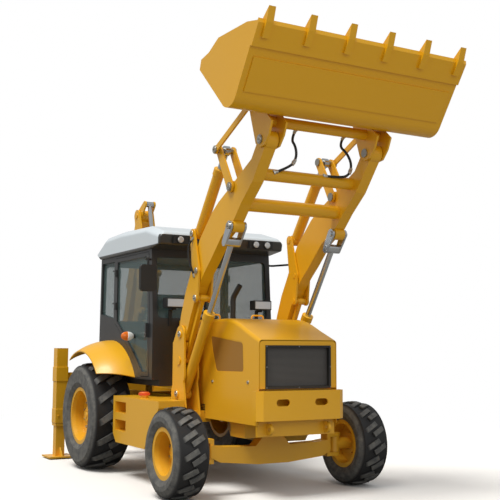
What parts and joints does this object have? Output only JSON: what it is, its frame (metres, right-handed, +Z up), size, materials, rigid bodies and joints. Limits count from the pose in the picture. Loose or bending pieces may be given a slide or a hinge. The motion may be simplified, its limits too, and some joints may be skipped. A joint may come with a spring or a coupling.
{
  "type": "backhoe loader",
  "caption": "Backhoe loader with a wide toothed front bucket raised on bowed twin arms, a glazed cab, and a side-shift backhoe folded behind between two straight stabilisers",
  "frame": {"origin": "on the ground, under the middle of the machine's length and width", "axes": "+X forward toward the loader bucket, +Y to the operator's left, +Z up"},
  "size_m": [6.6389, 2.451, 4.2997],
  "materials": {
    "yellow_paint": "satin",
    "black_paint": "satin",
    "rod_chrome": "polished",
    "tyre_rubber": "matte",
    "cab_glass": "clear",
    "worn_steel": "worn",
    "trim_plastic": "matte",
    "lamp_lens": "gloss",
    "cast_block": "matte",
    "roof_plastic": "satin"
  },
  "bodies": {
    "chassis": {"main_frame": "yellow_paint", "axles": "yellow_paint", "loader_towers": "yellow_paint", "cowl": "yellow_paint", "grille": "black_paint", "engine_block": "cast_block", "exhaust": "worn_steel", "side_tanks": "yellow_paint", "rear_fenders": "yellow_paint", "cab_frame": "black_paint", "cab_windows": "cab_glass", "cab_roof": "roof_plastic", "cab_interior": "trim_plastic", "lamps": "lamp_lens", "mirrors": "trim_plastic", "rear_frame": "yellow_paint"},
    "bonnet": {"bonnet": "yellow_paint"},
    "door_right": {"door_right": "black_paint", "door_right_glass": "cab_glass"},
    "door_left": {"door_left": "black_paint", "door_left_glass": "cab_glass"},
    "knuckle_right": {"knuckle_right": "yellow_paint"},
    "knuckle_left": {"knuckle_left": "yellow_paint"},
    "wheel_front_right": {"rim_front_right": "yellow_paint", "tyre_front_right": "tyre_rubber"},
    "wheel_front_left": {"rim_front_left": "yellow_paint", "tyre_front_left": "tyre_rubber"},
    "wheel_rear_right": {"rim_rear_right": "yellow_paint", "tyre_rear_right": "tyre_rubber"},
    "wheel_rear_left": {"rim_rear_left": "yellow_paint", "tyre_rear_left": "tyre_rubber"},
    "arms": {"loader_arms": "yellow_paint"},
    "levers": {"tilt_levers": "yellow_paint"},
    "tower_links": {"tower_links": "yellow_paint"},
    "lift_barrels": {"lift_barrels": "yellow_paint"},
    "lift_rods": {"lift_rods": "rod_chrome"},
    "tilt_barrels": {"tilt_barrels": "yellow_paint"},
    "tilt_rods": {"tilt_rods": "rod_chrome"},
    "guide_pins": {"guide_pins": "worn_steel"},
    "guide_links": {"guide_links": "yellow_paint"},
    "push_pins": {"push_pins": "worn_steel"},
    "push_links": {"push_links": "yellow_paint"},
    "front_pins": {"front_pins": "worn_steel"},
    "loader_bucket": {"coupler": "yellow_paint", "loader_bucket": "yellow_paint"},
    "carriage": {"carriage": "yellow_paint"},
    "swing_post": {"swing_post": "yellow_paint"},
    "boom": {"boom": "yellow_paint"},
    "dipper": {"dipper": "yellow_paint"},
    "tippers": {"hoe_tippers": "yellow_paint"},
    "links": {"hoe_links": "yellow_paint"},
    "hoe_bucket": {"hoe_bucket": "yellow_paint"},
    "boom_barrel": {"boom_barrel": "yellow_paint"},
    "boom_rod": {"boom_rod": "rod_chrome"},
    "dipper_barrel": {"dipper_barrel": "yellow_paint"},
    "dipper_rod": {"dipper_rod": "rod_chrome"},
    "hoe_barrel": {"hoe_barrel": "yellow_paint"},
    "hoe_rod": {"hoe_rod": "rod_chrome"},
    "stabiliser_right": {"stabiliser_right": "yellow_paint"},
    "stabiliser_left": {"stabiliser_left": "yellow_paint"}
  },
  "joints": [
    {"name": "bonnet_lift", "type": "hinge", "parent": "chassis", "child": "bonnet", "pos_m": [0.768, 0, 1.747], "axis": [0, -1, 0], "range_deg": [0, 38]},
    {"name": "door_right_swing", "type": "hinge", "parent": "chassis", "child": "door_right", "pos_m": [-0.855, -0.788, 1.9], "axis": [0, 0, -1], "range_deg": [0, 75]},
    {"name": "door_left_swing", "type": "hinge", "parent": "chassis", "child": "door_left", "pos_m": [-0.855, 0.788, 1.9], "axis": [0, 0, 1], "range_deg": [0, 75]},
    {"name": "steer_left", "type": "hinge", "parent": "chassis", "child": "knuckle_left", "pos_m": [1.516, 0.8, 0.44], "axis": [0, 0, 1], "range_deg": [-35, 35]},
    {"name": "steer_right", "type": "hinge", "parent": "chassis", "child": "knuckle_right", "pos_m": [1.516, -0.8, 0.44], "axis": [0, 0, 1], "range_deg": [-35, 35]},
    {"name": "wheel_front_left_spin", "type": "hinge", "parent": "knuckle_left", "child": "wheel_front_left", "pos_m": [1.516, 1.0455, 0.44], "axis": [0, 1, 0], "continuous": true},
    {"name": "wheel_front_right_spin", "type": "hinge", "parent": "knuckle_right", "child": "wheel_front_right", "pos_m": [1.516, -1.0455, 0.44], "axis": [0, 1, 0], "continuous": true},
    {"name": "wheel_rear_left_spin", "type": "hinge", "parent": "chassis", "child": "wheel_rear_left", "pos_m": [-1, 0.948, 0.63], "axis": [0, 1, 0], "continuous": true},
    {"name": "wheel_rear_right_spin", "type": "hinge", "parent": "chassis", "child": "wheel_rear_right", "pos_m": [-1, -0.948, 0.63], "axis": [0, 1, 0], "continuous": true},
    {"name": "arm_lift", "type": "hinge", "parent": "chassis", "child": "arms", "pos_m": [0.8, 0, 1.593], "axis": [0, -1, 0], "range_deg": [-82, 0]},
    {"name": "tilt_lever_turn", "type": "hinge", "parent": "arms", "child": "levers", "pos_m": [1.175, 0, 2.245], "axis": [0, -1, 0], "range_deg": [0, 82]},
    {"name": "tower_link_turn", "type": "hinge", "parent": "chassis", "child": "tower_links", "pos_m": [0.78, 0, 1.311], "axis": [0, -1, 0], "range_deg": [-82, 0]},
    {"name": "lift_barrel_turn", "type": "hinge", "parent": "chassis", "child": "lift_barrels", "pos_m": [0.74, 0, 0.96], "axis": [0, -1, 0], "range_deg": [-66.17, 0]},
    {"name": "lift_rod_slide", "type": "slide", "parent": "lift_barrels", "child": "lift_rods", "axis": [0.5626, 0, 0.8267], "range_m": [-0.7127, 0]},
    {"name": "guide_pin_turn", "type": "hinge", "parent": "arms", "child": "guide_pins", "pos_m": [1.89, 0, 3.02], "axis": [0, -1, 0], "range_deg": [0, 65.82]},
    {"name": "guide_link_turn", "type": "hinge", "parent": "guide_pins", "child": "guide_links", "pos_m": [1.89, 0, 3.02], "axis": [0, -1, 0], "range_deg": [-65.2, 0]},
    {"name": "push_pin_turn", "type": "hinge", "parent": "guide_links", "child": "push_pins", "pos_m": [1.65, 0, 3.43], "axis": [0, -1, 0], "range_deg": [-68.69, 0]},
    {"name": "push_link_turn", "type": "hinge", "parent": "push_pins", "child": "push_links", "pos_m": [1.65, 0, 3.43], "axis": [0, -1, 0], "range_deg": [0, 47.15]},
    {"name": "tilt_rod_turn", "type": "hinge", "parent": "push_pins", "child": "tilt_rods", "pos_m": [1.65, 0, 3.43], "axis": [0, -1, 0], "range_deg": [0, 47.15]},
    {"name": "tilt_barrel_slide", "type": "slide", "parent": "tilt_rods", "child": "tilt_barrels", "axis": [0.5975, 0, 0.8018], "range_m": [-0.3665, 0]},
    {"name": "front_pin_turn", "type": "hinge", "parent": "arms", "child": "front_pins", "pos_m": [2.484, 0, 3.375], "axis": [0, -1, 0], "range_deg": [0, 82]},
    {"name": "bucket_curl", "type": "hinge", "parent": "front_pins", "child": "loader_bucket", "pos_m": [2.484, 0, 3.375], "axis": [0, -1, 0], "range_deg": [-100, 0]},
    {"name": "carriage_shift", "type": "slide", "parent": "chassis", "child": "carriage", "axis": [0, 1, 0], "range_m": [-0.5, 0.1]},
    {"name": "hoe_swing", "type": "hinge", "parent": "carriage", "child": "swing_post", "pos_m": [-2.5, 0.25, 0.765], "axis": [0, 0, 1], "range_deg": [-60, 60]},
    {"name": "boom_swing", "type": "hinge", "parent": "swing_post", "child": "boom", "pos_m": [-2.72, 0.25, 0.65], "axis": [0, -1, 0], "range_deg": [0, 70]},
    {"name": "boom_barrel_turn", "type": "hinge", "parent": "swing_post", "child": "boom_barrel", "pos_m": [-2.48, 0.25, 1.215], "axis": [0, -1, 0], "range_deg": [0, 96.98]},
    {"name": "boom_rod_slide", "type": "slide", "parent": "boom_barrel", "child": "boom_rod", "axis": [0.2713, 0, 0.9625], "range_m": [0, 0.5067]},
    {"name": "dipper_swing", "type": "hinge", "parent": "boom", "child": "dipper", "pos_m": [-2.48, 0.25, 3.33], "axis": [0, -1, 0], "range_deg": [-100, 0]},
    {"name": "dipper_barrel_turn", "type": "hinge", "parent": "boom", "child": "dipper_barrel", "pos_m": [-2.04, 0.25, 2.48], "axis": [0, -1, 0], "range_deg": [0, 8]},
    {"name": "dipper_rod_slide", "type": "slide", "parent": "dipper_barrel", "child": "dipper_rod", "axis": [-0.2425, 0, 0.9701], "range_m": [-0.3433, 0]},
    {"name": "hoe_bucket_curl", "type": "hinge", "parent": "dipper", "child": "hoe_bucket", "pos_m": [-3.04, 0.25, 1.5], "axis": [0, -1, 0], "range_deg": [-100, 0]},
    {"name": "tipper_turn", "type": "hinge", "parent": "dipper", "child": "tippers", "pos_m": [-2.985, 0.25, 1.79], "axis": [0, -1, 0], "range_deg": [-62.85, 0]},
    {"name": "link_turn", "type": "hinge", "parent": "tippers", "child": "links", "pos_m": [-3.2, 0.25, 1.76], "axis": [0, -1, 0], "range_deg": [0, 61.07]},
    {"name": "hoe_barrel_turn", "type": "hinge", "parent": "dipper", "child": "hoe_barrel", "pos_m": [-2.76, 0.25, 2.98], "axis": [0, -1, 0], "range_deg": [-1.8, 0]},
    {"name": "hoe_rod_slide", "type": "slide", "parent": "hoe_barrel", "child": "hoe_rod", "axis": [-0.3393, 0, -0.9407], "range_m": [-0.2269, 0]},
    {"name": "stabiliser_right_slide", "type": "slide", "parent": "chassis", "child": "stabiliser_right", "axis": [0, 0, -1], "range_m": [-0.25, 0.015]},
    {"name": "stabiliser_left_slide", "type": "slide", "parent": "chassis", "child": "stabiliser_left", "axis": [0, 0, -1], "range_m": [-0.25, 0.015]}
  ],
  "couplings": [
    {"joint": "steer_right", "follows": "steer_left", "ratio": 1},
    {"joint": "tilt_lever_turn", "follows": "arm_lift", "ratio": -1},
    {"joint": "tower_link_turn", "follows": "arm_lift", "ratio": 1},
    {"joint": "lift_barrel_turn", "follows": "arm_lift", "ratio": 0.807},
    {"joint": "lift_rod_slide", "follows": "arm_lift", "m_per_rad": 0.498},
    {"joint": "guide_pin_turn", "follows": "arm_lift", "ratio": -0.8027},
    {"joint": "guide_link_turn", "follows": "bucket_curl", "ratio": 0.652},
    {"joint": "push_pin_turn", "follows": "arm_lift", "ratio": 0.8377},
    {"joint": "push_link_turn", "follows": "bucket_curl", "ratio": -0.4715},
    {"joint": "tilt_rod_turn", "follows": "bucket_curl", "ratio": -0.4715},
    {"joint": "tilt_barrel_slide", "follows": "bucket_curl", "m_per_rad": 0.21},
    {"joint": "front_pin_turn", "follows": "arm_lift", "ratio": -1},
    {"joint": "boom_barrel_turn", "follows": "boom_swing", "ratio": 1.3855},
    {"joint": "boom_rod_slide", "follows": "boom_swing", "m_per_rad": 0.4147},
    {"joint": "dipper_barrel_turn", "follows": "dipper_swing", "ratio": -0.08},
    {"joint": "dipper_rod_slide", "follows": "dipper_swing", "m_per_rad": 0.1967},
    {"joint": "tipper_turn", "follows": "hoe_bucket_curl", "ratio": 0.6285},
    {"joint": "link_turn", "follows": "hoe_bucket_curl", "ratio": -0.6107},
    {"joint": "hoe_barrel_turn", "follows": "hoe_bucket_curl", "ratio": 0.018},
    {"joint": "hoe_rod_slide", "follows": "hoe_bucket_curl", "m_per_rad": 0.13}
  ]
}
